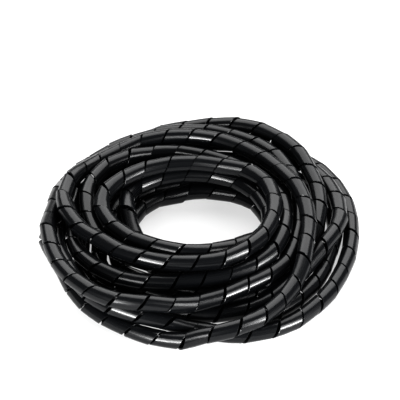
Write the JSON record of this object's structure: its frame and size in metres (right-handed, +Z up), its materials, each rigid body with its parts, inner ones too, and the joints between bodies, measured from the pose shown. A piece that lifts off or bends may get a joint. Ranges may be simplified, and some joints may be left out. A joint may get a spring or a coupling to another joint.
{
  "type": "spiral cable wrap",
  "caption": "Loose coil of black spiral cable wrap: a slit plastic tube wound into a low ring with an open middle.",
  "frame": {"origin": "middle of the coil's footprint, on the floor it lies on", "axes": "+Z up along the coil's axis, -Y towards the viewer of the picture, +X to the viewer's right"},
  "size_m": [0.2008, 0.2028, 0.0338],
  "materials": {
    "black_polyethylene": "semi-gloss extruded polyethylene, near black"
  },
  "bodies": {
    "root": {"spiral_wrap": "black_polyethylene"}
  },
  "joints": []
}
